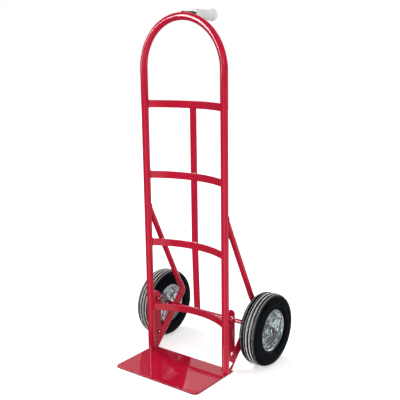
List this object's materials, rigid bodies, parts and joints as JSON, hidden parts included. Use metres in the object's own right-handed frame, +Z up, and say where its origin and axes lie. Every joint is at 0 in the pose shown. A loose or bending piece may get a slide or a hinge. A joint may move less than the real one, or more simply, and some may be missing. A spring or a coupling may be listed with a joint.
{
  "type": "hand truck",
  "caption": "Upright two-wheeled hand truck with a loop tube frame, bowed crossbars, a flat toe plate, solid rubber tyres on steel rims and a rear pin handle.",
  "frame": {"origin": "on the underside of the toe plate, on the centre line, directly below the legs", "axes": "+Z up along the legs, -Y to the front where the load stands, +Y to the rear where the wheels and handle are, +X along the axle to the right-hand wheel"},
  "size_m": [0.5336, 0.4626, 1.211],
  "materials": {
    "red_paint": "high gloss enamel",
    "rubber_tyre": "satin",
    "zinc_plate": "bright zinc plate",
    "dark_steel": "satin",
    "grey_vinyl": "satin moulded vinyl",
    "nylon_bush": "satin black nylon"
  },
  "bodies": {
    "frame": {"loop_frame": "red_paint", "crossbar_1": "red_paint", "crossbar_2": "red_paint", "crossbar_3": "red_paint", "crossbar_4": "red_paint", "centre_strap": "red_paint", "toe_plate": "red_paint", "axle": "red_paint", "handle_tube": "dark_steel", "handle_grip": "grey_vinyl", "side_plate_left": "red_paint", "brace_left": "red_paint", "washer_outer_left": "zinc_plate", "retaining_ring_outer_left": "zinc_plate", "washer_inner_left": "zinc_plate", "retaining_ring_inner_left": "zinc_plate", "side_plate_right": "red_paint", "brace_right": "red_paint", "washer_outer_right": "zinc_plate", "retaining_ring_outer_right": "zinc_plate", "washer_inner_right": "zinc_plate", "retaining_ring_inner_right": "zinc_plate"},
    "left_wheel": {"tyre_left": "rubber_tyre", "rim_outer_left": "zinc_plate", "rim_inner_left": "zinc_plate", "hub_tube_left": "zinc_plate", "bush_outer_left": "nylon_bush", "bush_inner_left": "nylon_bush", "rim_rivet_1_left": "zinc_plate", "rim_rivet_2_left": "zinc_plate", "rim_rivet_3_left": "zinc_plate", "rim_rivet_4_left": "zinc_plate"},
    "right_wheel": {"tyre_right": "rubber_tyre", "rim_outer_right": "zinc_plate", "rim_inner_right": "zinc_plate", "hub_tube_right": "zinc_plate", "bush_outer_right": "nylon_bush", "bush_inner_right": "nylon_bush", "rim_rivet_1_right": "zinc_plate", "rim_rivet_2_right": "zinc_plate", "rim_rivet_3_right": "zinc_plate", "rim_rivet_4_right": "zinc_plate"}
  },
  "joints": [
    {"name": "left_wheel_spin", "type": "hinge", "parent": "frame", "child": "left_wheel", "pos_m": [-0.2296, 0.1536, 0.127], "axis": [1, 0, 0], "continuous": true},
    {"name": "right_wheel_spin", "type": "hinge", "parent": "frame", "child": "right_wheel", "pos_m": [0.2296, 0.1536, 0.127], "axis": [1, 0, 0], "continuous": true}
  ]
}
